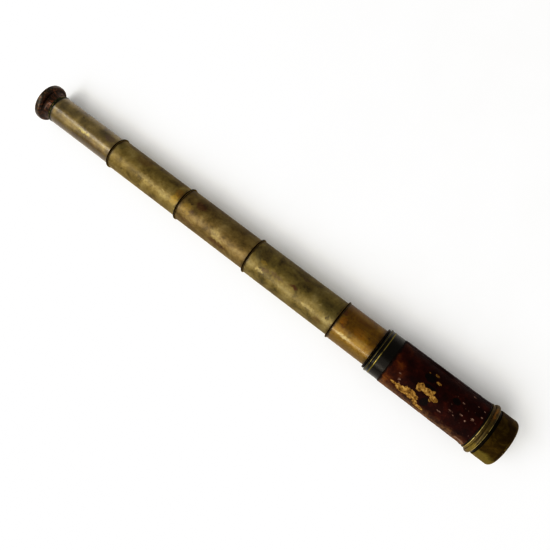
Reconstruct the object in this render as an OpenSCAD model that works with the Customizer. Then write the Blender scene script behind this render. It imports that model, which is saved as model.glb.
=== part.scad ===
// Five-draw pocket telescope in brass, with a leather-covered barrel.
// It lies along X, eyepiece towards -X and objective towards +X.
// Every turned piece stands on the optical axis, which runs at height axis_h.
// Tubes are numbered from the eye: 1 carries the eyepiece, 5 is the widest
// draw, and 6 is the barrel, so the collar numbered n sits on tube n.

/* [Draw tubes] */
// Outer radius of the smallest draw tube
draw1_r = 10.8; // [10.6:0.05:11.2]
// Growth in outer radius from one draw tube to the next
draw_step = 0.9; // [0.85:0.01:0.95]
// Wall of a draw tube
draw_wall = 0.4; // [0.36:0.01:0.42]
// Length of a draw tube behind its collar bead
draw_len = 85.2; // [85:0.1:95]
// How far each draw stands out of the next one, smallest first
pulled = [59.5, 66.0, 63.7, 74.6, 31.2]; // [0:0.1:74.8]

/* [Collars and stops] */
// Width of the bead on a draw collar
bead_w = 1.3; // [1.1:0.1:1.5]
// How far the bead stands proud of its tube
bead_rise = 0.75; // [0.4:0.05:0.85]
// Length of a collar's sleeve inside its tube
sleeve_len = 2.8; // [2:0.1:3]
// Length of the slit spring sleeve behind it
spring_len = 3.6; // [3:0.1:3.8]
// Length of the stop ring at the front of a draw
stop_len = 2.6; // [2:0.1:2.8]
// Radial clearance of a draw in its collar
slide_fit = 0.05; // [0.03:0.01:0.08]

/* [Barrel] */
// Radial room between the widest draw and the barrel tube
barrel_room = 1.1; // [0.9:0.1:1.3]
// Wall of the barrel tube
barrel_wall = 0.6; // [0.5:0.05:0.8]
// Thickness of the leather
leather_t = 0.9; // [0.85:0.05:1.2]
// Where the leather starts, from the barrel collar's face
leather_x0 = 13.5; // [9:0.1:20]

/* [Objective end] */
// Length of the objective band
band_len = 6.2; // [6:0.1:8]
// Radius of the large bead on the objective band
band_bead_r = 19.0; // [18.4:0.1:20]
// Gap between the band and the mouth of the cap
cap_gap = 2.1; // [1.5:0.1:3.5]
// Depth of the cap outside
cap_len = 13.4; // [12.6:0.1:14.6]
// Radius of the cap's outer corner
cap_round = 3.0; // [1.5:0.1:3]

/* [Eyepiece] */
// Radius of the eyecup's lip
eyecup_r = 14.5; // [14:0.1:15]
// Radius of the eye hole
eye_hole_r = 2.8; // [2:0.1:3]
// Angle of the open shutter from the closed one, in degrees
shutter_open = 80; // [76:1:82]

/* [Hidden] */
$fn = 96;
eps = 0.01;

// Colours of the real pieces.
patina_brass = [0.48, 0.41, 0.22];
bright_brass = [0.66, 0.48, 0.18];
dark_brass = [0.13, 0.11, 0.08];
worn_bronze = [0.30, 0.14, 0.07];
leather_brown = [0.22, 0.07, 0.04];
inner_black = [0.06, 0.06, 0.06];
glass_tint = [0.75, 0.88, 0.88, 0.5];

// Radii. The bore of tube n takes draw n - 1, its collar and its stop ring.
barrel = 6;
axis_h = band_bead_r;
function draw_r(n) = draw1_r + (n - 1) * draw_step;
barrel_bore = draw_r(5) + barrel_room;
barrel_r = barrel_bore + barrel_wall;
leather_r = barrel_r + leather_t;
function bore_r(n) = n == barrel ? barrel_bore : draw_r(n) - draw_wall;
stop_fit = 0.06;
slit_w = 0.6;
slit_count = 6;

// Eye end of the barrel, in lengths from the barrel collar's face.
collar_bead_w = 1.7;
collar_bead_r = barrel_bore + 0.7;
ferrule_x0 = 1.9;
ferrule_bead_w = 1.9;
ferrule_bead_r = barrel_r + 0.95;
ferrule_lip = 1.0;
ferrule_groove_r = barrel_r + 0.45;
ferrule_sleeve_r = barrel_r + 0.6;
fillet_x0 = 5.0;
fillet_w = 1.3;
fillet_r = barrel_r + 0.75;
barrel_sleeve_end = 6.5;
barrel_spring_len = 6.0;
tube_x0 = ferrule_x0 + ferrule_lip;

// Objective end, in lengths from the barrel collar's face.
tube_x1 = draw_len + 0.2;
cell_x0 = draw_len + 0.5;
band_end = draw_len + 3.5;
leather_x1 = band_end - band_len;
band_groove_r = barrel_r + 0.55;
line_x0 = 0.9;
line_w = 0.7;
line_r = barrel_r + 1.6;
band_r = barrel_r + 1.35;
band_bead_w = 3.1;
thread_r = barrel_r - 0.85;
cell_r = leather_r - 0.35;
clear_aperture_r = 13.6;
cap_fit = 0.05;
cap_wall = 0.8;
cap_x0 = band_end + cap_gap;
cap_end = cap_x0 + cap_len;
cap_r = cell_r + cap_fit + cap_wall;
nose_len = cap_gap + cap_len - cap_wall - 0.1;
nose_round = cap_round - cap_wall + 0.05;

// The objective: a flat-backed flint, a thin spacer and a convex crown.
lens_seat = band_end + 1.5;
lens_r = 14.6;
lens_gap = 0.2;
flint_mid = 1.8;
flint_top = lens_seat + flint_mid;
crown_mid = 4.6;
inner_curve = 75;
front_curve = 90;
lens_fn = 720;
touch = 0.02;

// Eyepiece, in lengths from the eye end of draw 1, towards the eye.
flange_w = 2.5;
flange_r = draw1_r + 0.3;
flange_sleeve_len = 5.0;
neck_r = 10.2;
neck_end = 5.3;
flare_end = 10.3;
rim_end = 13.0;
rim_round = 1.1;
dish_depth = 2.4;
dish_floor = rim_end - dish_depth;
dish_r = 10.6;
dish_mouth_r = 12.4;
spigot_r = 9.4;
spigot_len = 3.0;
eye_seat = dish_floor - 2.0;
eye_lens_r = 6.0;
eye_lens_mid = 3.2;
eye_curve = 12;
eye_tube_r = 8.0;
eye_tube_bore = 7.4;
eye_tube_lip = 6.6;
eye_tube_end = 4.6;
eye_tube_len = 30.6;
field_seat = -20.5;
field_mid = 3.6;
field_curve = 18;
field_stop_at = -10;

// The erector: two small lenses in a short tube at the front of draw 1.
erector_x0 = 49.5;
erector_len = 34;
erector_r = draw1_r - draw_wall;
erector_bore = erector_r - 0.6;
erector_lens_r = 8.4;
erector_mid = 3.4;
erector_curve = 26;
erector_cell_len = 6.0;
erector_lip = 1.0;
rear_seat = -erector_x0 - 2.0;
front_seat = -erector_x0 - erector_len + 7.0;

// The shutter swings on a screw above the eye hole.
shutter_t = 0.6;
shutter_disc_r = 3.4;
shutter_arm = 5.4;
shutter_neck_w = 3.2;
shutter_lug_r = 2.0;
shutter_float = 0.05;
screw_r = 0.7;
screw_len = 1.5;
screw_head_r = 1.5;
screw_head_t = 0.5;
screw_slot_w = 0.4;
knob_offset = 2.0;
knob_r = 0.6;
knob_h = 1.4;
knob_head_r = 1.0;
knob_head_t = 0.8;

// Stations of the tubes, from the barrel collar's face.
function front(n) = n == barrel ? 0 : back(n) - bead_w;
function back(n) = front(n + 1) - pulled[n - 1];
first_x = back(1) - rim_end;
shift = -(first_x + cap_end) / 2;

// Sag of a spherical face of radius curve at radius r.
function sag(curve, r) = curve - sqrt(curve * curve - r * r);

// Points of an arc about c, from angle a0 to a1 in n steps.
function arc(c, r, a0, a1, n = 16) = [
    for (i = [0:n]) let (a = a0 + (a1 - a0) * i / n)
        [c[0] + r * cos(a), c[1] + r * sin(a)]
];

// Puts children on the optical axis at station x, their +Z towards +X.
module on_axis(x) {
    translate([x + shift, 0, axis_h]) rotate([0, 90, 0]) children();
}

// The same, w out from the eye end of draw 1, with +Z towards the eye.
module at_eye(w) {
    translate([back(1) + shift - w, 0, axis_h]) rotate([0, -90, 0]) children();
}

module ring(outer, inner, len) {
    difference() {
        cylinder(r = outer, h = len);
        translate([0, 0, -1]) cylinder(r = inner, h = len + 2);
    }
}

// A turned ring with flat sides and a round crown of radius crown.
module crowned_ring(top, inner, w, crown) {
    edge = top - crown + sqrt(crown * crown - w * w / 4);
    rotate_extrude() union() {
        translate([inner, 0]) square([edge - inner, w]);
        intersection() {
            translate([top - crown, w / 2]) circle(crown);
            translate([edge - eps, 0]) square([top - edge + 2 * eps, w]);
        }
    }
}

// Half the outline of a round can with a rounded corner at its top.
module can(r, len, corner) {
    square([r, len - corner]);
    square([r - corner, len]);
    translate([r - corner, len - corner]) circle(corner);
}

// ---- Draws ----

module draw_tube(n) {
    color(n == 5 ? bright_brass : patina_brass)
        on_axis(back(n)) ring(draw_r(n), bore_r(n), draw_len);
}

// A collar on tube n: a bead on its end and a sleeve inside it.
module draw_collar(n) {
    guide = draw_r(n - 1) + slide_fit;
    color(dark_brass) on_axis(front(n)) {
        crowned_ring(draw_r(n) + bead_rise, guide, bead_w, bead_w * 0.58);
        translate([0, 0, bead_w - eps]) ring(bore_r(n), guide, sleeve_len + eps);
    }
}

// A slit sleeve at station x that grips the draw inside tube n.
module spring_sleeve(n, x, len) {
    color(bright_brass) on_axis(x) difference() {
        ring(bore_r(n), draw_r(n - 1) + slide_fit, len);
        for (i = [0:slit_count - 1]) rotate([0, 0, (i + 0.5) * 360 / slit_count])
            translate([0, -slit_w / 2, len / 4]) cube([bore_r(n) + 1, slit_w, len]);
    }
}

module draw_spring_sleeve(n) {
    spring_sleeve(n, back(n) + sleeve_len, spring_len);
}

// The ring on draw n that meets the spring sleeve of the tube around it.
module stop_ring(n) {
    color(dark_brass) on_axis(back(n) + draw_len - stop_len)
        ring(bore_r(n + 1) - stop_fit, draw_r(n), stop_len);
}

// ---- Barrel ----

module barrel_tube() {
    color(patina_brass) on_axis(tube_x0)
        ring(barrel_r, barrel_bore, tube_x1 - tube_x0);
}

module leather_cover() {
    color(leather_brown) on_axis(leather_x0)
        ring(leather_r, barrel_r, leather_x1 - leather_x0);
}

module barrel_ferrule() {
    color(dark_brass) on_axis(ferrule_x0) {
        crowned_ring(ferrule_bead_r, barrel_r, ferrule_bead_w, ferrule_bead_w * 0.6);
        ring(barrel_r + eps, barrel_bore, ferrule_lip);
        ring(ferrule_groove_r, barrel_r, leather_x0 - ferrule_x0);
        translate([0, 0, fillet_x0 - ferrule_x0]) {
            crowned_ring(fillet_r, barrel_r, fillet_w, fillet_w);
            translate([0, 0, fillet_w - eps])
                ring(ferrule_sleeve_r, barrel_r, leather_x0 - fillet_x0 - fillet_w + eps);
        }
    }
}

module barrel_collar() {
    guide = draw_r(5) + slide_fit;
    color(dark_brass) on_axis(0) {
        crowned_ring(collar_bead_r, guide, collar_bead_w, collar_bead_w * 0.6);
        translate([0, 0, collar_bead_w - eps])
            ring(barrel_bore, guide, barrel_sleeve_end - collar_bead_w + eps);
    }
}

module barrel_spring_sleeve() {
    spring_sleeve(barrel, barrel_sleeve_end, barrel_spring_len);
}

// A band with a groove, a fine raised line, a plain neck and the large bead.
module objective_band() {
    color(patina_brass) on_axis(leather_x1) difference() {
        union() {
            ring(band_groove_r, thread_r, band_len - eps);
            translate([0, 0, line_x0]) {
                crowned_ring(line_r, thread_r, line_w, line_w);
                ring(band_r, thread_r, band_len - line_x0 - eps);
            }
            translate([0, 0, band_len - band_bead_w])
                crowned_ring(band_bead_r, thread_r, band_bead_w, band_bead_w * 0.56);
        }
        translate([0, 0, -1]) cylinder(r = barrel_r, h = tube_x1 - leather_x1 + 1);
    }
}

// A cell that screws into the band; its nose carries the cap.
module objective_cell() {
    thread_len = band_end - cell_x0;
    seat = lens_seat - cell_x0;
    color(dark_brass) on_axis(cell_x0) rotate_extrude() difference() {
        union() {
            square([thread_r, thread_len + eps]);
            translate([0, thread_len]) can(cell_r, nose_len, nose_round);
        }
        square([clear_aperture_r, seat + eps]);
        translate([0, seat]) square([lens_r, nose_len + thread_len]);
    }
}

module flint_lens() {
    color(glass_tint) on_axis(lens_seat) rotate_extrude() difference() {
        square([lens_r, flint_mid + sag(inner_curve, lens_r)]);
        translate([0, flint_mid + inner_curve]) circle(inner_curve, $fn = lens_fn);
    }
}

module lens_spacer() {
    color(patina_brass) on_axis(flint_top) rotate_extrude() difference() {
        intersection() {
            translate([lens_r - 1, 0]) square([1, 5]);
            translate([0, inner_curve]) circle(inner_curve, $fn = lens_fn);
        }
        translate([0, inner_curve + lens_gap]) circle(inner_curve, $fn = lens_fn);
    }
}

module crown_lens() {
    color(glass_tint) on_axis(flint_top + lens_gap) rotate_extrude() intersection() {
        square([lens_r, crown_mid]);
        translate([0, inner_curve]) circle(inner_curve, $fn = lens_fn);
        translate([0, crown_mid - front_curve]) circle(front_curve, $fn = lens_fn);
    }
}

module objective_retainer() {
    inner = lens_r - 1.2;
    x = flint_top + lens_gap + crown_mid - sag(front_curve, inner) + touch;
    color(dark_brass) on_axis(x) difference() {
        ring(lens_r, inner, 2.2);
        for (a = [0, 180]) rotate([0, 0, a])
            translate([lens_r - 0.9, -0.6, 1.2]) cube([2, 1.2, 2]);
    }
}

module objective_cap() {
    color(dark_brass) on_axis(cap_x0) rotate_extrude() difference() {
        can(cap_r, cap_len, cap_round);
        can(cell_r + cap_fit, cap_len - cap_wall, cap_round - cap_wall);
    }
}

// ---- Eyepiece, on draw 1 ----

module eyepiece_flange() {
    color(dark_brass) {
        at_eye(0) crowned_ring(flange_r, spigot_r, flange_w, flange_w);
        at_eye(-flange_sleeve_len)
            ring(bore_r(1), spigot_r, flange_sleeve_len + eps);
    }
}

// The flare is two equal arcs, hollow at the neck and round at the lip.
module eyecup() {
    rise = eyecup_r - neck_r;
    run = flare_end - neck_end;
    bend = (rise * rise + run * run) / (4 * rise);
    turn = 2 * atan(rise / run);
    color(worn_bronze) at_eye(0) difference() {
        rotate_extrude() polygon(concat(
            [[0, -spigot_len], [spigot_r, -spigot_len], [spigot_r, flange_w]],
            [[neck_r, flange_w]],
            arc([neck_r + bend, neck_end], bend, 180, 180 - turn),
            arc([eyecup_r - bend, flare_end], bend, -turn, 0),
            arc([eyecup_r - rim_round, rim_end - rim_round], rim_round, 0, 90),
            [[dish_mouth_r, rim_end], [dish_r, dish_floor], [0, dish_floor]]
        ));
        translate([0, 0, -spigot_len - 1])
            cylinder(r = eye_tube_r, h = spigot_len + eye_tube_end + 1);
        cylinder(r = eye_lens_r, h = eye_seat);
        cylinder(r = eye_hole_r, h = rim_end);
        translate([shutter_arm, 0, dish_floor - screw_len])
            cylinder(r = screw_r, h = screw_len + 1);
    }
}

// A lens with its flat face at w and its round face towards the objective.
module plano_lens(w, r, mid, curve) {
    color(glass_tint) at_eye(w - mid) rotate_extrude() intersection() {
        square([r, mid]);
        translate([0, curve]) circle(curve, $fn = lens_fn);
    }
}

// The ring behind such a lens, which meets its round face at radius inner.
module lens_ring(w, r, inner, mid, curve, len) {
    color(dark_brass)
        at_eye(w - mid + sag(curve, inner) - touch - len) ring(r, inner, len);
}

module eye_lens() {
    plano_lens(eye_seat, eye_lens_r, eye_lens_mid, eye_curve);
}

module eye_lens_ring() {
    lens_ring(eye_seat, eye_lens_r, 5.2, eye_lens_mid, eye_curve, 1.5);
}

// A blackened tube with a lip inside that seats the field lens.
module eyepiece_tube() {
    lip = field_seat - eye_tube_end + eye_tube_len;
    color(inner_black) at_eye(eye_tube_end - eye_tube_len) difference() {
        cylinder(r = eye_tube_r, h = eye_tube_len);
        translate([0, 0, -1]) cylinder(r = eye_tube_lip, h = eye_tube_len + 2);
        translate([0, 0, -1]) cylinder(r = eye_tube_bore, h = lip + 1);
        translate([0, 0, lip + 1]) cylinder(r = eye_tube_bore, h = eye_tube_len);
    }
}

module field_stop() {
    color(inner_black) at_eye(field_stop_at) ring(eye_tube_bore, 4.5, 0.8);
}

module field_lens() {
    plano_lens(field_seat, eye_tube_bore, field_mid, field_curve);
}

module field_lens_ring() {
    lens_ring(field_seat, eye_tube_bore, 6.4, field_mid, field_curve, 1.8);
}

module erector_tube() {
    color(inner_black) on_axis(back(1) + erector_x0)
        ring(erector_r, erector_bore, erector_len);
}

module erector_stop() {
    color(inner_black) on_axis(back(1) + erector_x0 + erector_len / 2)
        ring(erector_bore, 3.0, 0.8);
}

// A cup that seats a lens whose flat face is at w.
module erector_cell(w) {
    depth = erector_cell_len - erector_lip;
    color(dark_brass) at_eye(w - depth) difference() {
        cylinder(r = erector_bore, h = erector_cell_len);
        translate([0, 0, -1]) cylinder(r = erector_lens_r, h = depth + 1);
        cylinder(r = erector_lens_r - 1, h = erector_cell_len + 1);
    }
}

module erector_lens(w) {
    plano_lens(w, erector_lens_r, erector_mid, erector_curve);
}

module erector_ring(w) {
    lens_ring(w, erector_lens_r, 7.4, erector_mid, erector_curve, 1.4);
}

// ---- Shutter, in the eyecup's dish ----

// Puts children z above the dish at the pivot, turned to the open shutter.
module on_shutter(z) {
    at_eye(dish_floor + z) translate([shutter_arm, 0, 0])
        rotate([0, 0, shutter_open]) children();
}

module shutter_plate() {
    color(bright_brass) on_shutter(shutter_float) difference() {
        union() {
            translate([-shutter_arm, 0, 0]) cylinder(r = shutter_disc_r, h = shutter_t);
            translate([-shutter_arm, -shutter_neck_w / 2, 0])
                cube([shutter_arm, shutter_neck_w, shutter_t]);
            cylinder(r = shutter_lug_r, h = shutter_t);
        }
        translate([0, 0, -1]) cylinder(r = screw_r + slide_fit, h = 3);
    }
}

module shutter_knob() {
    color(bright_brass) on_shutter(shutter_float + shutter_t)
        translate([-shutter_arm - knob_offset, 0, 0]) {
            cylinder(r = knob_r, h = knob_h - knob_head_t + eps);
            translate([0, 0, knob_h - knob_head_t])
                cylinder(r1 = knob_head_r, r2 = knob_head_r - 0.3, h = knob_head_t);
        }
}

module shutter_screw() {
    head = shutter_t + 2 * shutter_float;
    color(patina_brass) at_eye(dish_floor) translate([shutter_arm, 0, 0]) difference() {
        union() {
            translate([0, 0, -screw_len]) cylinder(r = screw_r, h = screw_len + head + eps);
            translate([0, 0, head]) cylinder(r = screw_head_r, h = screw_head_t);
        }
        translate([-screw_head_r, -screw_slot_w / 2, head + screw_head_t / 2])
            cube([2 * screw_head_r, screw_slot_w, 1]);
    }
}

// ---- The model ----

barrel_tube();
leather_cover();
barrel_ferrule();
barrel_collar();
barrel_spring_sleeve();
objective_band();
objective_cell();
flint_lens();
lens_spacer();
crown_lens();
objective_retainer();
objective_cap();
draw_tube(5);  // draw5_tube
draw_collar(5);  // draw5_collar
draw_spring_sleeve(5);  // draw5_spring_sleeve
stop_ring(5);  // draw5_stop_ring
draw_tube(4);  // draw4_tube
draw_collar(4);  // draw4_collar
draw_spring_sleeve(4);  // draw4_spring_sleeve
stop_ring(4);  // draw4_stop_ring
draw_tube(3);  // draw3_tube
draw_collar(3);  // draw3_collar
draw_spring_sleeve(3);  // draw3_spring_sleeve
stop_ring(3);  // draw3_stop_ring
draw_tube(2);  // draw2_tube
draw_collar(2);  // draw2_collar
draw_spring_sleeve(2);  // draw2_spring_sleeve
stop_ring(2);  // draw2_stop_ring
draw_tube(1);  // draw1_tube
stop_ring(1);  // draw1_stop_ring
eyepiece_flange();
eyecup();
eye_lens();
eye_lens_ring();
eyepiece_tube();
field_stop();
field_lens();
field_lens_ring();
erector_tube();
erector_stop();
erector_cell(rear_seat);  // erector_rear_cell
erector_lens(rear_seat);  // erector_rear_lens
erector_ring(rear_seat);  // erector_rear_ring
erector_cell(front_seat);  // erector_front_cell
erector_lens(front_seat);  // erector_front_lens
erector_ring(front_seat);  // erector_front_ring
shutter_plate();
shutter_knob();
shutter_screw();
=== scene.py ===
"""Looks of the five-draw brass telescope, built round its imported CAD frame.

The optical axis lies along X, with the eyepiece towards -X. Blender lengths are in
metres. Marks and noise are given in millimetres, and a turn is an angle round the
axis in degrees, which is 0 at the top and grows towards -Y, the side of the light.
"""

import math
from collections import namedtuple

import bmesh
import bpy
import numpy as np
from mathutils import Matrix, Vector, noise


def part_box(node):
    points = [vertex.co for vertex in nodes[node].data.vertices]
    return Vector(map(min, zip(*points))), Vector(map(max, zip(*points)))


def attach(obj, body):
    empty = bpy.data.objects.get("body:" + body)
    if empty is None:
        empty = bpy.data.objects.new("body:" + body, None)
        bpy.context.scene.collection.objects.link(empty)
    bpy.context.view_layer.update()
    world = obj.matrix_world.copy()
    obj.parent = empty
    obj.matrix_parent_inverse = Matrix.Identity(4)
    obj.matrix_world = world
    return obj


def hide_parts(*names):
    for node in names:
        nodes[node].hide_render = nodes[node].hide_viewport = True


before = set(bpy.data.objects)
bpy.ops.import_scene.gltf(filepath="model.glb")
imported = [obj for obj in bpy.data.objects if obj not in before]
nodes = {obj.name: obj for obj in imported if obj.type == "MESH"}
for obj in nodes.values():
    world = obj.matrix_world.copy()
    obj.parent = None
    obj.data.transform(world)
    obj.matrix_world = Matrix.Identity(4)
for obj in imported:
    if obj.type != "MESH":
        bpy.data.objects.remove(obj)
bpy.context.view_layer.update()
MM = 0.001
AXIS_Z = sum(corner.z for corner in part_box("barrel_tube")) / 2


def srgb(red, green, blue):
    """A display colour, 0 to 255 each, as the linear RGBA that shaders take."""
    def linear(value):
        value /= 255
        return value / 12.92 if value <= 0.04045 else ((value + 0.055) / 1.055) ** 2.4
    return (linear(red), linear(green), linear(blue), 1.0)


def x_mm(node):
    """Where a CAD node starts and ends along the axis, in millimetres."""
    low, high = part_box(node)
    return low.x / MM, high.x / MM


def outer_mm(node):
    """Outer radius of a CAD node, in millimetres."""
    low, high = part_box(node)
    return (high.y - low.y) / 2 / MM


# ---- Shader helpers ----

# How far each seed moves a material's noise, along X, Y and Z
SEED_STEP = (37.0, 11.0, 23.0)
# How far the outline of a mark wanders
DRIFT = 5.0
# A mark fades in between these shares of its half size
MARK_OUTSIDE, MARK_INSIDE = 1.15, 0.65
# The Mix node's sockets for colours, which share their names with those for numbers
MIX_SHARE, MIX_BELOW, MIX_ABOVE, MIX_RESULT = 0, 6, 7, 2

# A blotch at a station from its piece's eye end and at a turn, length along by width round
Mark = namedtuple("Mark", "x turn length width colour strength")


class Shade:
    """A material and short calls for the nodes that it is made of.

    Its coordinates are x, the station; light_side, the distance towards -Y; radius and
    turn, the place round the axis; grain, the place moved by the seed, for noise; and
    skin, the surface unrolled and made ragged, for marks.
    """

    def __init__(self, name, seed=0.0):
        self.material = bpy.data.materials.new(name)
        self.material.use_nodes = True
        self.tree = self.material.node_tree
        self.surface = next(n for n in self.tree.nodes if n.type == "BSDF_PRINCIPLED")
        place = self.node("ShaderNodeTexCoord").outputs["Object"]
        centred = self.vector("SUBTRACT", place, (0, 0, AXIS_Z))
        point = self.vector("MULTIPLY", centred, (1 / MM,) * 3)
        self.grain = self.vector("ADD", point, tuple(seed * step for step in SEED_STEP))
        split = self.node("ShaderNodeSeparateXYZ", Vector=point)
        self.x, y, z = split.outputs
        self.light_side = self.math("MULTIPLY", y, -1.0)
        self.radius = self.math("SQRT", self.math("ADD", self.math("MULTIPLY", y, y),
                                                  self.math("MULTIPLY", z, z)))
        angle = self.math("ARCTAN2", self.light_side, z)
        self.turn = self.math("DEGREES", angle)
        arc = self.math("MULTIPLY", angle, self.radius)
        flat = self.node("ShaderNodeCombineXYZ", X=self.x, Y=arc)
        ragged = self.node("ShaderNodeTexNoise", Vector=self.grain, Scale=0.55, Detail=4.0)
        drift = self.vector("SUBTRACT", ragged.outputs["Color"], (0.5, 0.5, 0.5))
        self.skin = self.vector("ADD", flat.outputs[0],
                                self.vector("MULTIPLY", drift, (DRIFT, DRIFT, 0.0)))

    def node(self, kind, settings=None, **inputs):
        """A new node. An input's name is written with _ for each space."""
        made = self.tree.nodes.new(kind)
        for name, value in (settings or {}).items():
            setattr(made, name, value)
        for name, value in inputs.items():
            self.feed(made.inputs[name.replace("_", " ")], value)
        return made

    def feed(self, socket, value):
        """Links a socket to another node's output, or sets it to a number or a colour."""
        if isinstance(value, bpy.types.NodeSocket):
            self.tree.links.new(value, socket)
        else:
            socket.default_value = value

    def set(self, **inputs):
        """Feeds the shader's own inputs."""
        for name, value in inputs.items():
            self.feed(self.surface.inputs[name.replace("_", " ")], value)

    def colour_so_far(self):
        return self.surface.inputs["Base Color"].links[0].from_socket

    def math(self, operation, *values):
        made = self.node("ShaderNodeMath", {"operation": operation})
        for socket, value in zip(made.inputs, values):
            self.feed(socket, value)
        return made.outputs[0]

    def vector(self, operation, *values):
        made = self.node("ShaderNodeVectorMath", {"operation": operation})
        for socket, value in zip(made.inputs, values):
            self.feed(socket, value)
        return made.outputs["Value" if operation == "LENGTH" else "Vector"]

    def noise(self, scale, detail=4.0, rough=0.55, warp=0.0, stretch=(1, 1, 1), offset=0.0):
        """Noise from 0 to 1, with features about 1 / scale mm, longer where stretch is small.
        Noises on one surface have their own offsets, so that they don't fall together."""
        at = self.vector("MULTIPLY_ADD", self.grain, stretch, (offset, offset, offset))
        made = self.node("ShaderNodeTexNoise", Vector=at, Scale=scale, Detail=detail,
                         Roughness=rough, Distortion=warp)
        return made.outputs["Fac"]

    def step(self, value, low, high):
        """0 where value is at low, 1 at high, smooth between."""
        made = self.node("ShaderNodeMapRange", {"interpolation_type": "SMOOTHSTEP"},
                         Value=value)
        rising = low < high
        made.inputs["From Min"].default_value = low if rising else high
        made.inputs["From Max"].default_value = high if rising else low
        made.inputs["To Min"].default_value = 0.0 if rising else 1.0
        made.inputs["To Max"].default_value = 1.0 if rising else 0.0
        return made.outputs["Result"]

    def between(self, value, low, high, soft):
        """1 where value lies between low and high, with soft edges."""
        return self.math("MULTIPLY", self.step(value, low - soft, low + soft),
                         self.step(value, high + soft, high - soft))

    def beside(self, station, near, far):
        """1 within near of a station, 0 further than far from it."""
        away = self.math("ABSOLUTE", self.math("SUBTRACT", self.x, station))
        return self.step(away, far, near)

    def ramp(self, value, *stops):
        """A colour that follows value through stops of (position, colour)."""
        made = self.node("ShaderNodeValToRGB", Fac=value)
        elements = made.color_ramp.elements
        while len(elements) < len(stops):
            elements.new(0.5)
        for element, (position, colour) in zip(elements, stops):
            element.position = position
            element.color = colour
        return made.outputs["Color"]

    def mix(self, below, above, share):
        """The colour above laid over the one below, as far as share says."""
        made = self.node("ShaderNodeMix", {"data_type": "RGBA"})
        self.feed(made.inputs[MIX_SHARE], share)
        self.feed(made.inputs[MIX_BELOW], below)
        self.feed(made.inputs[MIX_ABOVE], above)
        return made.outputs[MIX_RESULT]

    def spot(self, mark, start, radius):
        """1 inside a mark on a tube that starts at station start, 0 outside the mark."""
        middle = (start + mark.x, math.radians(mark.turn) * radius, 0.0)
        away = self.vector("SUBTRACT", self.skin, middle)
        size = self.vector("DIVIDE", away, (mark.length / 2, mark.width / 2, 1.0))
        return self.step(self.vector("LENGTH", size), MARK_OUTSIDE, MARK_INSIDE)

    def bump(self, height, depth_mm, below=None):
        """A normal for relief of that depth, on top of the relief below."""
        made = self.node("ShaderNodeBump", Height=height, Distance=depth_mm * MM)
        if below is not None:
            self.feed(made.inputs["Normal"], below)
        return made.outputs["Normal"]


# ---- Brass ----

RED_BROWN = srgb(70, 34, 20)
# A dark brown for real stains and specks, also used for painted shade along the upper side of draws
# 2 to 4
DARK_STAIN_AND_SHADE = srgb(38, 26, 12)
OLIVE_STAIN = srgb(58, 52, 22)
GOLD = srgb(146, 120, 48)
ORANGE = srgb(126, 80, 14)
PALE = srgb(154, 138, 90)
MAUVE = srgb(84, 62, 50)
# The colour of what aged brass reflects
EDGE_TINT = (0.62, 0.48, 0.26, 1)


def brass(name, seed, tones, marks=(), start=0.0, radius=0.0, roughness=0.42, coat=0.5,
          coat_rough=0.32, mottle=0.5, scratches=0.5, grime_and_shade=(), fixed_ring=None):
    """Aged brass. tones are its dark, middle and light colours, and marks lie on a tube of
    that radius from station start on. mottle and scratches are how strong those are, grime
    lists the stations where a dark band of soiling and painted shade lies against a ring,
    and fixed_ring is the one that never slides."""
    s = Shade(name, seed)
    cloud = s.noise(0.09, 7.0, 0.66, warp=0.3)
    colour = s.ramp(cloud, (0.28, tones[0]), (0.5, tones[1]), (0.74, tones[2]))
    fine = s.noise(0.7, 6.0, 0.68, offset=5.0)
    colour = s.mix(colour, tones[0], s.math("MULTIPLY", s.step(fine, 0.5, 0.72), mottle))
    flecks = s.step(s.noise(0.9, 5.0, 0.7, offset=31.0), 0.6, 0.7)
    colour = s.mix(colour, tones[2], s.math("MULTIPLY", flecks, mottle * 0.8))
    patchy = s.math("MULTIPLY_ADD", s.step(fine, 0.6, 0.44), 0.5, 0.5)
    for mark in marks:
        share = s.math("MULTIPLY", s.spot(mark, start, radius), mark.strength)
        colour = s.mix(colour, mark.colour, s.math("MULTIPLY", share, patchy))
    specks = s.step(s.noise(1.1, 2.0, 0.5, offset=77.0), 0.735, 0.78)
    colour = s.mix(colour, DARK_STAIN_AND_SHADE, s.math("MULTIPLY", specks, 0.85))
    # Soiling and painted shade: a dark clumpy band beside each ring
    for station in grime_and_shade:
        clumps = s.step(s.noise(0.35, 4.0, offset=13.0), 0.35, 0.6)
        dirt_and_shade = s.math("MULTIPLY", s.beside(station, 0.2, 2.6), clumps)
        colour = s.mix(colour, DARK_STAIN_AND_SHADE, s.math("MULTIPLY", dirt_and_shade, 0.6))
    if fixed_ring is not None:
        colour = s.mix(colour, DARK_STAIN_AND_SHADE, s.beside(fixed_ring, 0.3, 0.65))
    # Fine lines along the tube, from sliding
    slides = s.noise(1.0, 3.0, 0.6, stretch=(0.03, 2.4, 2.4), offset=3.0)
    line = s.step(slides, 0.61, 0.70)
    colour = s.mix(colour, PALE, s.math("MULTIPLY", line, 0.22 * scratches))
    dull = s.step(slides, 0.40, 0.30)
    colour = s.mix(colour, tones[0], s.math("MULTIPLY", dull, 0.35 * scratches))
    rough = s.math("MULTIPLY_ADD", s.noise(0.3, 5.0, 0.65, offset=51.0), 0.30, roughness - 0.15)
    rough = s.math("SUBTRACT", rough, s.math("MULTIPLY", line, 0.08))
    bumps = s.bump(s.noise(0.16, 3.0, offset=9.0), 0.5)
    bumps = s.bump(fine, 0.05, bumps)
    bumps = s.bump(slides, 0.02, bumps)
    s.set(Base_Color=colour, Metallic=0.85, Roughness=rough, Normal=bumps,
          Specular_Tint=EDGE_TINT, Coat_Weight=coat, Coat_Roughness=coat_rough)
    return s


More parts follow.
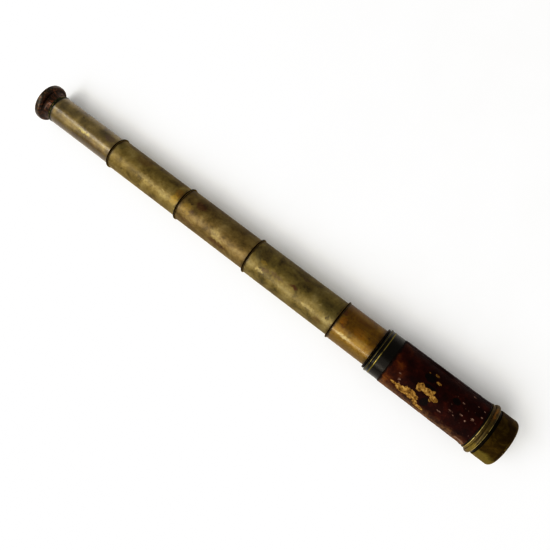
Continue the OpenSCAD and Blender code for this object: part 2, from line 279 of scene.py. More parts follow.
def blackened(name, seed, black, bright, bands=(), radius_worn=None, roughness=0.35, wear=0.5,
              gloss=0.12, tint=EDGE_TINT):
    """Brass under a dark finish, worn off in specks. bands are stations between which bright
    metal shows, as worn metal and painted highlight, and radius_worn is the radius of a crest that
    is rubbed through in places."""
    s = Shade(name, seed)
    mottled = s.noise(0.25, 6.0, 0.65, warp=0.5)
    colour = s.ramp(mottled, (0.35, black[0]), (0.65, black[1]))
    bare_and_highlight = s.step(s.noise(0.8, 5.0, 0.7, offset=19.0), 0.66, 0.76)
    bare_and_highlight = s.math("MULTIPLY", bare_and_highlight, wear)
    if radius_worn is not None:
        crest = s.step(s.radius, radius_worn - 0.12, radius_worn)
        broken = s.step(s.noise(0.5, 4.0, 0.6, offset=43.0), 0.45, 0.62)
        bare_and_highlight = s.math("MAXIMUM", bare_and_highlight, s.math("MULTIPLY", s.math("MULTIPLY", crest, broken), wear))
    # Bright bands of worn metal and painted highlight
    for low, high in bands:
        inside = s.between(s.x, low, high, 0.06)
        broken = s.step(s.noise(0.4, 4.0, 0.6, offset=61.0), 0.22, 0.5)
        bare_and_highlight = s.math("MAXIMUM", bare_and_highlight, s.math("MULTIPLY", inside, broken))
    colour = s.mix(colour, bright, bare_and_highlight)
    rough = s.math("MULTIPLY_ADD", s.noise(0.5, 5.0, offset=23.0), 0.24, roughness - 0.12)
    bumps = s.bump(s.noise(0.9, 5.0, 0.6), 0.04)
    s.set(Base_Color=colour, Metallic=s.math("MULTIPLY_ADD", bare_and_highlight, 0.7, 0.25), Roughness=rough,
          Normal=bumps, Specular_Tint=tint, Specular_IOR_Level=gloss)
    return s


def paint(shade, slot, *names):
    """Gives CAD nodes a material. slot is not used."""
    for name in names:
        piece = nodes[name]
        piece.data.materials.clear()
        piece.data.materials.append(shade.material)


# Dark, middle and light colours of each draw
DRAW_TONES = {
    1: (srgb(60, 47, 20), srgb(104, 87, 44), srgb(138, 120, 70)),
    2: (srgb(62, 49, 18), srgb(114, 97, 50), srgb(142, 127, 80)),
    3: (srgb(48, 35, 10), srgb(106, 87, 46), srgb(140, 122, 78)),
    4: (srgb(46, 37, 14), srgb(108, 93, 48), srgb(138, 124, 80)),
    5: (srgb(66, 42, 1), srgb(98, 68, 2), srgb(124, 96, 22)),
}

# Roughness, clear coat and roughness of the coat of each draw
DRAW_FINISH = {
    1: (0.46, 0.9, 0.20),
    2: (0.56, 0.3, 0.30),
    3: (0.56, 0.3, 0.30),
    4: (0.56, 0.3, 0.30),
    5: (0.48, 0.4, 0.16),
}

# Blotches and stains of each draw, with painted light among them: shade along a side of
# draws 1 to 4, the floor's reflection low on draw 5, and highlights on draws 2, 4 and 5
DRAW_MARKS = {
    1: [
        Mark(52.7, -30, 10, 7, MAUVE, 0.75), Mark(26.7, 48, 8, 3, MAUVE, 0.5),
        Mark(32.7, 13, 15, 2.6, srgb(158, 142, 76), 0.6), Mark(24.7, -33, 1.8, 1.5, DARK_STAIN_AND_SHADE, 0.8),
        Mark(29.7, -54, 1.6, 1.4, DARK_STAIN_AND_SHADE, 0.8), Mark(39.7, -48, 1.8, 1.6, DARK_STAIN_AND_SHADE, 0.8),
        Mark(5.7, -20, 6, 16, DARK_STAIN_AND_SHADE, 0.4), Mark(45.7, 35, 24, 4, RED_BROWN, 0.3),
        # Painted shade: a dull brown band along the whole lower side
        Mark(35.7, 62, 90, 9, srgb(72, 56, 34), 0.75),
    ],
    2: [
        # Second mark: a painted highlight
        Mark(24.9, -40, 16, 9, RED_BROWN, 0.5), Mark(34.9, 10, 16, 4, PALE, 0.35),
        Mark(12.9, 39, 2.4, 1.6, DARK_STAIN_AND_SHADE, 0.6), Mark(2.9, -37, 8, 8, OLIVE_STAIN, 0.5),
        # Painted shade along the upper side, away from the light
        Mark(30.9, -68, 62, 9, DARK_STAIN_AND_SHADE, 0.4),
        Mark(61.9, 7, 7, 9, GOLD, 0.8), Mark(62.9, -20, 8, 7, ORANGE, 0.45),
        Mark(42.9, 15, 1.6, 1.2, PALE, 0.8), Mark(50.9, 8, 3, 1.2, PALE, 0.8),
    ],
    3: [
        Mark(14.6, -28, 10, 7, RED_BROWN, 0.7), Mark(7.6, -14, 2.2, 1.4, DARK_STAIN_AND_SHADE, 0.8),
        Mark(6.6, 8, 9, 9, GOLD, 0.4), Mark(11.1, 8, 4, 3, MAUVE, 0.5),
        Mark(34.6, 14, 9, 7, PALE, 0.45), Mark(37.6, 31, 12, 3, PALE, 0.5),
        Mark(39.6, 46, 18, 4, RED_BROWN, 0.6), Mark(10.6, 48, 14, 3.5, RED_BROWN, 0.5),
        Mark(43.6, 45, 2, 2, DARK_STAIN_AND_SHADE, 0.7), Mark(22.6, 14, 4, 7, DARK_STAIN_AND_SHADE, 0.22),
        # Painted shade along the upper side, away from the light
        Mark(31.6, -58, 70, 14, DARK_STAIN_AND_SHADE, 0.5),
    ],
    4: [
        Mark(7.6, -26, 14, 14, DARK_STAIN_AND_SHADE, 0.6), Mark(11.6, -3, 6, 2.5, GOLD, 0.5),
        Mark(11.6, 24, 7, 3, PALE, 0.6), Mark(15.6, 12, 7, 4, MAUVE, 0.5),
        Mark(38.6, 2, 9, 2.2, RED_BROWN, 0.8), Mark(69.6, 15, 2, 4, DARK_STAIN_AND_SHADE, 0.75),
        # Second mark: a painted highlight streak
        Mark(60.1, -5, 3, 1, PALE, 0.7), Mark(53.6, 25, 12, 2.5, PALE, 0.5),
        Mark(42.6, -41, 5, 3, MAUVE, 0.6), Mark(63.6, 45, 9, 6, RED_BROWN, 0.35),
        Mark(24.6, 7, 12, 3, MAUVE, 0.5), Mark(68.6, -10, 20, 12, OLIVE_STAIN, 0.5),
        # Second mark: painted shade along the upper side, away from the light
        Mark(47.6, -35, 34, 10, DARK_STAIN_AND_SHADE, 0.35), Mark(32.6, -66, 74, 14, DARK_STAIN_AND_SHADE, 0.5),
    ],
    5: [
        # Painted reflection of the floor: lighter khaki along the lower, lit side
        Mark(14.7, 50, 60, 22, srgb(122, 98, 44), 0.75),
        Mark(1.7, -28, 4, 5, RED_BROWN, 0.8), Mark(3.7, -7, 5, 6, ORANGE, 0.7),
        Mark(5.7, 6, 5, 2, RED_BROWN, 0.7), Mark(24.7, -11, 2, 1.6, DARK_STAIN_AND_SHADE, 0.7),
        # First mark: a painted highlight streak
        Mark(9.7, 29, 14, 3, PALE, 0.6), Mark(17.7, -6, 12, 7, ORANGE, 0.4),
        Mark(14.7, -40, 16, 5, RED_BROWN, 0.35), Mark(12.7, 18, 4, 3, OLIVE_STAIN, 0.4),
    ],
}


def draw_materials():
    """Each draw has its own tone of brass, its own marks, some of them painted light, and a dark
    band of soiling and painted shade beside its rings.
    """
    for n, tones in DRAW_TONES.items():
        tube = f"draw{n}_tube"
        start = x_mm(tube)[0]
        front_ring = "barrel_collar" if n == 5 else f"draw{n + 1}_collar"
        roughness, coat, coat_rough = DRAW_FINISH[n]
        shade = brass(f"draw{n}_brass", n, tones, DRAW_MARKS[n], start, outer_mm(tube),
                      roughness, coat, coat_rough, mottle=0.35,
                      grime_and_shade=(start, x_mm(front_ring)[0]), fixed_ring=start)
        paint(shade, "bright_brass" if n == 5 else "patina_brass", tube)


# Where bright metal shows on the dark rings, from each ring's eye end: worn metal and painted
# highlights
COLLAR_BRIGHT = [(-0.2, 0.2), (1.18, 1.6)]
FERRULE_BRIGHT = [(0.85, 1.1), (3.35, 4.05)]
COLLAR_SEED = 10


def collar_materials():
    """Dark beads with a bright line on the face towards the eye, and another behind them, both worn
    metal and painted highlight.
    """
    black = (srgb(8, 4, 2), srgb(22, 12, 6))
    for n in (2, 3, 4, 5):
        name = f"draw{n}_collar"
        start = x_mm(name)[0]
        shade = blackened(f"{name}_finish", COLLAR_SEED + n, black, srgb(124, 104, 56),
                          bands=[(start + low, start + high) for low, high in COLLAR_BRIGHT],
                          wear=0.1)
        paint(shade, "dark_brass", name)


def barrel_materials():
    """The dark rings and sleeve at the barrel's eye end, and the band at the other."""
    black = (srgb(2, 1, 1), srgb(7, 5, 4))
    start = x_mm("barrel_ferrule")[0]
    shade = blackened("barrel_collar_finish", 21, black, srgb(120, 100, 60),
                      radius_worn=outer_mm("barrel_collar"), wear=0.15)
    paint(shade, "dark_brass", "barrel_collar")
    shade = blackened("ferrule_finish", 22, black, srgb(114, 102, 52),
                      bands=[(start + low, start + high) for low, high in FERRULE_BRIGHT],
                      roughness=0.27, wear=0.12, gloss=0.33, tint=(0.85, 0.78, 0.66, 1))
    paint(shade, "dark_brass", "barrel_ferrule")
    paint(brass("barrel_brass", 23, DRAW_TONES[4]), "patina_brass", "barrel_tube")
    paint(band_brass(), "patina_brass", "objective_band")


# The objective band's colours, its marks and the radius they lie at, its raised crests
# from its eye end, and the radius of the neck between them
BAND_TONES = (srgb(34, 26, 7), srgb(70, 56, 18), srgb(118, 100, 40))
BAND_MARKS = [Mark(1.6, -30, 3, 22, DARK_STAIN_AND_SHADE, 0.6), Mark(3.8, -48, 1.8, 14, ORANGE, 0.6),
              Mark(3.5, 58, 7, 14, srgb(126, 108, 44), 0.7)]
BAND_RADIUS = 17.5
BAND_CRESTS = [(1.12, 1.38), (5.58, 5.9)]
BAND_NECK = 17.0


def band_brass():
    """The objective band: its crests are rubbed bright, with a painted highlight strongest on the
    lit side, and its neck is dark, partly as painted shade.
    """
    start = x_mm("objective_band")[0]
    s = brass("band_brass", 24, BAND_TONES, BAND_MARKS, start, BAND_RADIUS, roughness=0.4,
              coat=0.3, mottle=0.8, scratches=0.2)
    crests = s.math("MAXIMUM", *[s.between(s.x, start + low, start + high, 0.1)
                                 for low, high in BAND_CRESTS])
    # Rubbed crests and a painted highlight, strongest on the lit side
    broken = s.step(s.noise(0.3, 4.0, 0.6, offset=8.0), 0.36, 0.5)
    rubbed = s.math("MULTIPLY_ADD", s.between(s.turn, -12.0, 62.0, 16.0), 0.8, 0.2)
    shine = s.math("MULTIPLY", crests, s.math("MULTIPLY", broken, rubbed))
    colour = s.mix(s.colour_so_far(), srgb(200, 182, 116), shine)
    # The neck between the crests is dark, partly as painted shade
    neck = s.step(s.radius, BAND_NECK + 0.1, BAND_NECK - 0.1)
    s.set(Base_Color=s.mix(colour, srgb(14, 9, 4), neck))
    return s


# Phase of the turning rings on the cap's end, in radians for each millimetre of radius
CAP_RINGS = 15.0


def cap_materials():
    """The cap's dull finish, with painted light making it paler on the side of the light, rubbed
    along its rim, with turning rings on its flat end, and the dark cell that it slips over."""
    s = Shade("cap_finish", 31)
    end = x_mm("objective_cap")[1]
    cloud = s.noise(0.09, 6.0, 0.62, warp=1.2)
    colour = s.ramp(cloud, (0.34, srgb(32, 21, 4)), (0.52, srgb(48, 35, 8)),
                    (0.68, srgb(70, 56, 18)))
    # Painted light: the lit side is paler past a ragged line
    edge = s.math("MULTIPLY_ADD", s.noise(0.12, 4.0, offset=21.0), 7.0, s.light_side)
    painted_lit_side = s.math("MULTIPLY", s.step(edge, 14.2, 17.6), 0.78)
    colour = s.mix(colour, srgb(112, 98, 46), painted_lit_side)
    fine = s.noise(0.8, 6.0, 0.7, offset=7.0)
    colour = s.mix(colour, srgb(22, 14, 4), s.math("MULTIPLY", s.step(fine, 0.52, 0.7), 0.6))
    rim = s.between(s.x, end - 1.6, end - 0.5, 0.5)
    worn = s.step(s.noise(0.5, 4.0, 0.6, offset=3.0), 0.48, 0.62)
    rubbed = s.math("MULTIPLY", s.math("MULTIPLY", rim, worn), 0.5)
    colour = s.mix(colour, srgb(140, 118, 62), rubbed)
    rings = s.math("SINE", s.math("MULTIPLY", s.radius, CAP_RINGS))
    on_end = s.step(s.x, end - 0.4, end - 0.1)
    colour = s.mix(colour, srgb(120, 100, 50),
                   s.math("MULTIPLY", s.math("MULTIPLY", s.step(rings, 0.2, 0.9), on_end), 0.14))
    rough = s.math("MULTIPLY_ADD", s.noise(0.4, 5.0, offset=23.0), 0.25, 0.36)
    bumps = s.bump(s.noise(0.14, 3.0, offset=9.0), 0.5)
    bumps = s.bump(fine, 0.06, bumps)
    bumps = s.bump(s.math("MULTIPLY", rings, on_end), 0.012, bumps)
    s.set(Base_Color=colour, Metallic=0.6, Roughness=rough, Normal=bumps,
          Specular_Tint=EDGE_TINT, Specular_IOR_Level=0.2)
    paint(s, "dark_brass", "objective_cap")
    shade = blackened("cell_finish", 32, (srgb(6, 5, 4), srgb(22, 18, 12)), srgb(120, 100, 50),
                      wear=0.3)
    paint(shade, "dark_brass", "objective_cell", "objective_retainer")


def eyepiece_materials():
    """A red-brown flare with a black lip, a green-black flange, and the brass shutter."""
    s = Shade("eyecup_bronze", 41)
    start = x_mm("eyecup")[0]
    streaks = s.noise(0.45, 5.0, 0.65, stretch=(0.25, 1, 1), warp=0.4)
    colour = s.ramp(streaks, (0.36, srgb(12, 6, 3)), (0.53, srgb(46, 23, 11)),
                    (0.70, srgb(100, 58, 30)))
    # The lip is black as far as a ragged line
    black = s.ramp(s.noise(0.5, 5.0, 0.6), (0.4, srgb(6, 5, 4)), (0.7, srgb(20, 16, 13)))
    edge = s.math("MULTIPLY_ADD", s.noise(0.4, 3.0, offset=5.0), 1.6, start + 3.2)
    lip = s.step(s.math("SUBTRACT", s.x, edge), 0.35, -0.35)
    colour = s.mix(colour, black, lip)
    worn = s.math("MULTIPLY", s.step(s.noise(0.9, 5.0, 0.7, offset=17.0), 0.62, 0.72), 0.5)
    outer = outer_mm("eyecup")
    rim = s.math("MULTIPLY", s.step(s.radius, outer - 0.5, outer - 0.1),
                 s.step(s.noise(0.5, 5.0, 0.7, offset=29.0), 0.46, 0.62))
    worn = s.math("MAXIMUM", worn, s.math("MULTIPLY", rim, 0.3))
    colour = s.mix(colour, srgb(150, 104, 60), worn)
    rough = s.math("MULTIPLY_ADD", s.noise(0.6, 5.0, offset=23.0), 0.25, 0.24)
    bumps = s.bump(s.noise(0.8, 5.0, 0.6, offset=2.0), 0.05)
    metal = s.math("MULTIPLY_ADD", lip, -0.4, 0.7)
    s.set(Base_Color=colour, Metallic=metal, Roughness=rough, Normal=bumps,
          Specular_Tint=EDGE_TINT, Coat_Weight=0.35, Coat_Roughness=0.2)
    paint(s, "worn_bronze", "eyecup")
    shade = blackened("flange_finish", 42, (srgb(14, 18, 12), srgb(40, 46, 32)),
                      srgb(130, 110, 60), wear=0.4, radius_worn=outer_mm("eyepiece_flange"))
    paint(shade, "dark_brass", "eyepiece_flange")
    shade = brass("shutter_brass", 43, DRAW_TONES[5], roughness=0.34, mottle=0.4)
    paint(shade, "bright_brass", "shutter_plate", "shutter_knob", "shutter_screw")


def inner_materials():
    """Springs and stops are plain brass, the optical tubes are blackened, lenses are glass."""
    sprung = brass("spring_brass", 51, DRAW_TONES[5], roughness=0.34, mottle=0.25)
    paint(sprung, "bright_brass", "barrel_spring_sleeve",
          *[f"draw{n}_spring_sleeve" for n in (2, 3, 4, 5)])
    stops = brass("stop_brass", 52, DRAW_TONES[3], mottle=0.5)
    paint(stops, "dark_brass", *[f"draw{n}_stop_ring" for n in (1, 2, 3, 4, 5)])
    paint(stops, "patina_brass", "lens_spacer")
    dark = blackened("optical_black", 53, (srgb(6, 6, 6), srgb(20, 20, 19)), srgb(110, 92, 50),
                     roughness=0.6, wear=0.15)
    paint(dark, "inner_black", "eyepiece_tube", "field_stop", "erector_tube", "erector_stop")
    paint(dark, "dark_brass", "eye_lens_ring", "field_lens_ring", "erector_rear_cell",
          "erector_rear_ring", "erector_front_cell", "erector_front_ring")
    s = Shade("lens_glass", 54)
    smear = s.noise(0.35, 5.0, 0.6)
    s.set(Base_Color=s.ramp(smear, (0.3, srgb(214, 226, 222)), (0.7, srgb(238, 244, 240))),
          Roughness=s.math("MULTIPLY", smear, 0.10), Normal=s.bump(smear, 0.004),
          Transmission_Weight=1.0, IOR=1.52)
    paint(s, "glass", "flint_lens", "crown_lens", "eye_lens", "field_lens",
          "erector_rear_lens", "erector_front_lens")


# ---- The leather cover ----

# Size of a quad of the cover's mesh, and the turn that its seam lies at
LEATHER_STEP = 0.36
LEATHER_SEAM = -66.0

# Relief, in millimetres: gentle swells and grain, then what each kind of wear takes away
SWELL, GRAIN = 0.13, 0.05
FLAKE_DEPTH, BURN_DEPTH, RUB_DEPTH, SEAM_DEPTH, CREASE_DEPTH = 0.30, 0.12, 0.05, 0.42, 0.05
# The cover rises against the objective band and is worn down at its two edges
BAND_RISE, EDGE_DEPTH = 0.28, 0.30
# Each octave of a field is this many times finer, and that to the power of FIELD_FADE weaker
FIELD_STEP, FIELD_FADE = 2.0, 1.0
# Over 1, a blotch stays whole in its middle while its edge is ragged
BLOTCH_POWER = 2.5

# Places on the cover: station from its eye end, turn, length and width. Flakes have lost
# their finish down to the ochre layer, burns are blackened, and rubs are scuffed pale.
LEATHER_FLAKES = [
    (24.7, 9, 5.5, 6.6), (29.5, 8, 10, 4.4), (33.5, 2, 2.4, 5.0), (36.0, 13, 6.0, 3.8),
    (34.3, 22, 2.2, 1.8), (22.5, 39, 12, 7.6), (16.5, 42, 12, 5.6), (10.0, 40, 7, 2.2),
    (18.0, 32, 2.4, 3.6), (31.0, 57, 8.5, 4.2), (27.5, 49, 4.5, 3.2), (29.8, -36, 3.6, 2.0),
    (33.0, -22, 4.2, 2.3), (24.5, -31, 1.6, 1.0),
]
LEATHER_BURNS = [
    (32.2, 33, 5.5, 8.5), (26.5, -21, 8.5, 6.0), (48.5, -14, 6.0, 5.0), (30.0, -4, 9, 2.4),
]
LEATHER_RUBS = [
    (56.8, -52, 2.4, 1.3), (61.7, -36, 1.6, 1.3), (66.5, -34, 1.4, 1.2), (52.5, -20, 2.2, 1.2),
    (55.5, 4, 2.8, 1.1), (62.5, -2, 2.8, 2.0), (66.5, -18, 1.8, 1.3), (43.2, 28, 3.4, 1.1),
    (48.1, 11, 2.8, 1.0), (64.5, 62, 8.0, 1.8), (51.5, 16, 1.6, 0.8), (59.5, 10, 1.8, 1.4),
    (11.0, 24, 2.4, 1.8), (9.3, 12, 2.0, 1.4), (12.3, 31, 1.6, 1.2),
]


def field(point, size, octaves=4):
    """Noise of about -1 to 1 at a point, in features about size mm across."""
    return noise.fractal(Vector(point) / size, FIELD_FADE, FIELD_STEP, octaves)


def blotch(spots, along, turn, radius, ragged):
    """How far inside a list of spots a place is: over 0 inside, below 0 outside."""
    best = -1.0
    for x, angle, length, width in spots:
        across = math.radians(turn - angle) * radius
        away = math.hypot((along - x) / (length / 2), across / (width / 2))
        best = max(best, 1.0 - away ** BLOTCH_POWER)
    return best + ragged


def smooth(value, low, high):
    """0 where value is at low or less, 1 at high or more, smooth between."""
    share = min(1.0, max(0.0, (value - low) / (high - low)))
    return share * share * (3 - 2 * share)


def leather_point(along, turn, length, radius):
    """Height over the plain cover and the flake, burn and rub masks of a place on it, where
    along is the distance from the cover's eye end."""
    angle = math.radians(turn)
    y, z = -radius * math.sin(angle), radius * math.cos(angle)
    place = (along, y, z)
    coarse = field(place, 6.0)
    ragged = 0.30 * field(place, 2.1, 3) + 0.42 * field(place, 1.0, 3) + 0.20 * coarse
    flake = smooth(blotch(LEATHER_FLAKES, along, turn, radius, ragged), 0.02, 0.16)
    # The other side has small scattered chips instead
    chips = smooth(field((along + 50, y, z), 2.3, 4), 0.62, 0.72)
    region = smooth(field((along - 90, y, z), 17.0, 2), 0.0, 0.35)
    flake = max(flake, chips * region * smooth(abs(turn), 72, 96))
    burn = smooth(blotch(LEATHER_BURNS, along, turn, radius, 0.6 * ragged), 0.0, 0.35)
    flake *= 1 - burn
    rub = smooth(blotch(LEATHER_RUBS, along, turn, radius, 1.3 * ragged), 0.1, 0.6)
    scuffs = smooth(field((along, y * 1.6 + 70, z * 1.6), 1.5, 3), 0.66, 0.85)
    rub = max(rub, scuffs * 0.6 * smooth(along, 38.0, 50.0))

    # The seam gapes along its middle, and its edges stand up there
    seam_gap = abs(math.radians(turn - LEATHER_SEAM)) * radius
    wander = 0.25 * field((along, 0, 3.0), 7.0, 2)
    gape = 0.16 + 0.55 * smooth(along, 22.0, 30.0) * (1 - smooth(along, 36.0, 44.0))
    seam = 1 - smooth(seam_gap + wander, 0.25 * gape, gape)
    crease = smooth(field((along / 6.0, y * 1.4, z * 1.4), 1.6, 2), 0.35, 0.7)

    height = SWELL * coarse + GRAIN * field(place, 1.3, 3)
    height -= (FLAKE_DEPTH * flake + BURN_DEPTH * burn + RUB_DEPTH * rub + SEAM_DEPTH * seam
               + CREASE_DEPTH * crease)
    lip = 0.06 + 0.30 * smooth(along, 14.0, 24.0) * (1 - smooth(along, 36.0, 46.0))
    height += lip * (1 - abs(2 * smooth(seam_gap, 0.2, 2.6) - 1))
    height += BAND_RISE * smooth(along, length - 3.0, length - 0.6)
    edge = min(along, length - along)
    height -= EDGE_DEPTH * (1 - smooth(edge, 0.0, 0.5))
    return height, flake, max(burn, seam), rub


# Edges that turn more than this are shaded as sharp
SHARP_ANGLE = math.radians(62)


def closed_grid(name, rows):
    """A mesh of quads over rows of points, closed round each row and from last row to first."""
    rows = np.asarray(rows, float)
    count, around = rows.shape[:2]
    index = np.arange(count * around).reshape(count, around)
    next_row, next_place = np.roll(index, -1, 0), np.roll(index, -1, 1)
    next_both = np.roll(next_row, -1, 1)
    quads = np.stack([index, next_row, next_both, next_place], -1).reshape(-1, 4)
    mesh = bpy.data.meshes.new(name)
    mesh.from_pydata(rows.reshape(-1, 3).tolist(), [], quads.tolist())
    shape = bmesh.new()
    shape.from_mesh(mesh)
    bmesh.ops.recalc_face_normals(shape, faces=shape.faces)
    shape.to_mesh(mesh)
    shape.free()
    mesh.shade_smooth()
    mesh.set_sharp_from_angle(angle=SHARP_ANGLE)
    piece = bpy.data.objects.new(name, mesh)
    bpy.context.scene.collection.objects.link(piece)
    return piece


def leather_cover():
    """The worn leather round the barrel, with its flaked finish as real relief."""
    start, end = x_mm("leather_cover")
    outer, inner = outer_mm("leather_cover"), outer_mm("barrel_tube")
    length = end - start
    stations = round(length / LEATHER_STEP)
    around = round(2 * math.pi * outer / LEATHER_STEP)
    turns = [360.0 * j / around - 180.0 for j in range(around)]

    def ring_point(x, r, turn):
        angle = math.radians(turn)
        return (x * MM, -r * math.sin(angle) * MM, AXIS_Z + r * math.cos(angle) * MM)

    rows, masks = [], []
    for i in range(stations + 1):
        along = length * i / stations
        row = []
        for turn in turns:
            height, *values = leather_point(along, turn, length, outer)
            # Both edges fray a little along the axis, and stay inside the CAD cover
            fray = 0.5 * field((turn / 9.0, 0, along), 1.0, 4) + 0.2
            x = start + along + fray * (1 - smooth(min(along, length - along), 0.0, 1.5))
            row.append(ring_point(min(max(x, start), end), outer + height, turn))
            masks.append(values)
        rows.append(row)
    for x in (end, start):
        rows.append([ring_point(x, inner, turn) for turn in turns])
        masks.extend([(0.0, 0.0, 0.0)] * around)
    piece = closed_grid("leather_cover_worn", rows)
    for name, column in zip(("flake", "burn", "rub"), np.array(masks, np.float32).T):
        layer = piece.data.attributes.new(name, "FLOAT", "POINT")
        layer.data.foreach_set("value", np.ascontiguousarray(column))
    piece.data.materials.append(leather_material(start).material)
    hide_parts("leather_cover")
    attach(piece, "barrel")


def leather_material(start):
    """Maroon leather that starts at station start, tan towards the eye, most on its lit side as
    painted light, and ochre where its finish has flaked off."""
    s = Shade("worn_leather", 61)

    def mask(name):
        return s.node("ShaderNodeAttribute", {"attribute_name": name}).outputs["Fac"]

    # Deep maroon, fading to tan towards the eye; the tan is strongest from the top round the lit
    # side, as painted light
    cloud = s.noise(0.12, 6.0, 0.65, warp=0.2)
    deep = s.ramp(cloud, (0.36, srgb(24, 4, 1)), (0.52, srgb(38, 8, 3)), (0.68, srgb(58, 20, 7)))
    tan = s.ramp(cloud, (0.34, srgb(42, 12, 3)), (0.5, srgb(68, 30, 8)), (0.68, srgb(108, 66, 24)))
    faded = s.math("MULTIPLY_ADD", s.noise(0.12, 3.0, offset=8.0), 26.0, start - 4.0)
    share = s.step(s.math("SUBTRACT", s.x, faded), 9.0, -7.0)
    side = s.math("MULTIPLY", s.step(s.turn, -45.0, 5.0),
                  s.step(s.math("ABSOLUTE", s.turn), 176.0, 130.0))
    colour = s.mix(deep, tan, s.math("MULTIPLY", share, s.math("MULTIPLY_ADD", side, 0.75, 0.15)))
    # Broken pale band low on the lit side: wear and painted reflection of the floor
    lowest = s.math("MULTIPLY_ADD", s.noise(0.2, 5.0, 0.6, offset=27.0), 40.0, s.turn)
    lower_side = s.between(lowest, 77.0, 118.0, 16.0)
    broken = s.step(s.noise(0.35, 6.0, 0.72, offset=33.0), 0.42, 0.60)
    lower_side = s.math("MULTIPLY", lower_side, s.math("MULTIPLY_ADD", broken, 0.6, 0.2))
    colour = s.mix(colour, srgb(122, 86, 50), lower_side)
    # A ragged dark stain along the eye end
    stained = s.math("MULTIPLY_ADD", s.noise(0.22, 5.0, 0.6, offset=41.0), -5.0, s.x)
    stained = s.step(s.math("SUBTRACT", stained, start), -0.4, -1.8)
    colour = s.mix(colour, srgb(12, 7, 5), s.math("MULTIPLY", stained, 0.85))
    pores = s.node("ShaderNodeTexVoronoi", {"feature": "DISTANCE_TO_EDGE"}, Vector=s.grain,
                   Scale=1.5)
    cracks = s.step(pores.outputs["Distance"], 0.07, 0.0)
    fine = s.noise(1.4, 6.0, 0.7, offset=4.0)
    grainy = s.noise(0.5, 7.0, 0.75, offset=14.0)
    under = s.ramp(grainy, (0.36, srgb(56, 35, 13)), (0.45, srgb(108, 78, 35)),
                   (0.56, srgb(150, 117, 59)), (0.66, srgb(190, 160, 98)))
    # Flakes with a dark rim, then rubs, burns and the cracks of the grain
    flake = mask("flake")
    colour = s.mix(colour, under, s.step(flake, 0.35, 0.6))
    rim = s.between(flake, 0.12, 0.34, 0.1)
    colour = s.mix(colour, srgb(52, 28, 10), s.math("MULTIPLY", rim, 0.7))
    rub = s.math("MULTIPLY", mask("rub"), s.step(fine, 0.38, 0.62))
    colour = s.mix(colour, srgb(158, 130, 112), s.math("MULTIPLY", rub, 0.75))
    colour = s.mix(colour, srgb(10, 8, 6), s.math("MULTIPLY", mask("burn"), 0.85))
    colour = s.mix(colour, srgb(12, 5, 3), s.math("MULTIPLY", cracks, 0.45))
    rough = s.math("MULTIPLY_ADD", fine, 0.25, 0.36)
    rough = s.math("ADD", rough, s.math("MULTIPLY", flake, 0.25))
    bumps = s.bump(pores.outputs["Distance"], 0.10)
    bumps = s.bump(fine, 0.10, bumps)
    s.set(Base_Color=colour, Roughness=rough, Normal=bumps, Specular_IOR_Level=0.06)
    return s


# ---- Stage, light and camera ----

# The eyecup stands this far over the floor, and the floor lies this far under the bead
CUP_GAP = 0.6 * MM
BEAD_GAP = 0.02 * MM


def floor():
    """A pale floor, tipped a little so that the bead and the eyecup both rest on it."""
    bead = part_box("objective_band")
    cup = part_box("eyecup")
    bead_x = (bead[0].x + bead[1].x) / 2
    run = bead_x - (cup[0].x + cup[1].x) / 2
    tip = math.atan2(cup[0].z - bead[0].z - CUP_GAP, run)
    half = 3.0
    mesh = bpy.data.meshes.new("floor")
    mesh.from_pydata([(-half, -half, 0), (half, -half, 0), (half, half, 0), (-half, half, 0)],
                     [], [(0, 1, 2, 3)])
    piece = bpy.data.objects.new("floor", mesh)
    piece.location = (bead_x, 0, bead[0].z - BEAD_GAP)
    piece.rotation_euler = (0, tip, 0)
    bpy.context.scene.collection.objects.link(piece)
    s = Shade("floor_white")
    s.set(Base_Color=s.ramp(s.noise(0.02, 3.0), (0.3, (0.86, 0.86, 0.85, 1)),
                            (0.7, (0.90, 0.90, 0.89, 1))), Roughness=0.75)
    piece.data.materials.append(s.material)


def softbox(name, start, end, width, power, target):
    """A soft strip light from start to end, in metres, turned to face target. Its power is
    in watts."""
    start, end, target = Vector(start), Vector(end), Vector(target)
    middle = (start + end) / 2
    along = (end - start).normalized()
    back = middle - target
    back = (back - along * back.dot(along)).normalized()
    data = bpy.data.lights.new(name, "AREA")
    data.shape = "RECTANGLE"
    data.size = (end - start).length
    data.size_y = width
    data.energy = power
    light = bpy.data.objects.new(name, data)
    light.matrix_world = Matrix((along, back.cross(along), back)).transposed().to_4x4()
    light.location = middle
    bpy.context.scene.collection.objects.link(light)


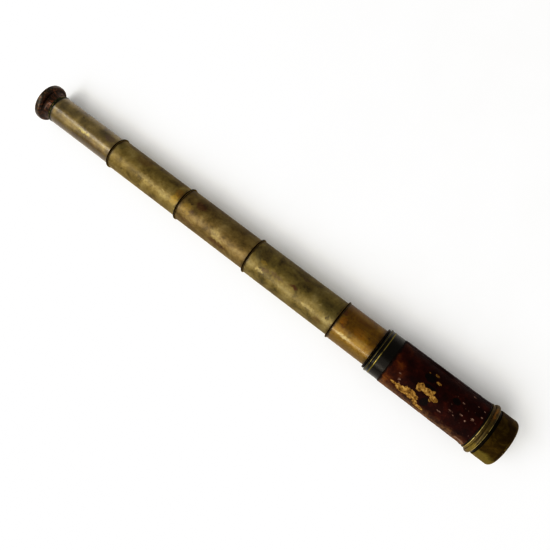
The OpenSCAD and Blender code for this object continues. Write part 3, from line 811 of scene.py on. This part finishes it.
# Linear light and what the view makes of it: deep shadows and clear whites
CONTRAST = ((0.014, 0.005), (0.063, 0.042), (0.16, 0.14), (0.31, 0.33), (0.52, 0.62), (0.80, 0.96))
# Blender's index of the curve for all three colours at once
ALL_COLOURS = 3
# Strength of the even light from all round
ROOM_LIGHT = 0.56


def studio():
    """A long narrow strip that falls from high beyond the eyepiece to low on the -Y side,
    with a broad window behind it, in a dim even room."""
    middle = (0, 0, AXIS_Z)
    softbox("key_strip", (-1.25, 0.0, 1.40), (0.20, -1.30, 0.60), 0.22, 7.8, middle)
    softbox("window", (-1.35, -0.72, 1.52), (1.25, -1.50, 0.85), 1.8, 17.0, middle)
    world = bpy.data.worlds.new("room")
    world.use_nodes = True
    background = world.node_tree.nodes["Background"]
    background.inputs["Color"].default_value = (1.0, 0.99, 0.97, 1)
    background.inputs["Strength"].default_value = ROOM_LIGHT
    bpy.context.scene.world = world
    view = bpy.context.scene.view_settings
    view.view_transform = "Standard"
    view.use_curve_mapping = True
    contrast = view.curve_mapping.curves[ALL_COLOURS]
    for dark, darker in CONTRAST:
        contrast.points.new(dark, darker)
    view.curve_mapping.update()


def camera():
    """Looks down on the telescope, tipped along it and rolled so that it lies aslant. Its
    place is in metres from the middle of the axis."""
    tip, roll = math.radians(10.76), math.radians(37.1)
    ahead, aside, height = 0.1032, -0.0016, 0.450
    level = Vector((math.cos(tip), 0, -math.sin(tip)))
    across = Vector((0, 1, 0))
    right = math.cos(roll) * level + math.sin(roll) * across
    up = -math.sin(roll) * level + math.cos(roll) * across
    data = bpy.data.cameras.new("camera")
    data.lens, data.sensor_width = 41.96, 36.0
    data.clip_start, data.clip_end = 0.01, 50
    piece = bpy.data.objects.new("camera", data)
    piece.matrix_world = Matrix((right, up, right.cross(up))).transposed().to_4x4()
    piece.location = (ahead, aside, AXIS_Z + height)
    bpy.context.scene.collection.objects.link(piece)
    bpy.context.scene.camera = piece


camera()
studio()
floor()
draw_materials()
collar_materials()
barrel_materials()
cap_materials()
eyepiece_materials()
inner_materials()
leather_cover()
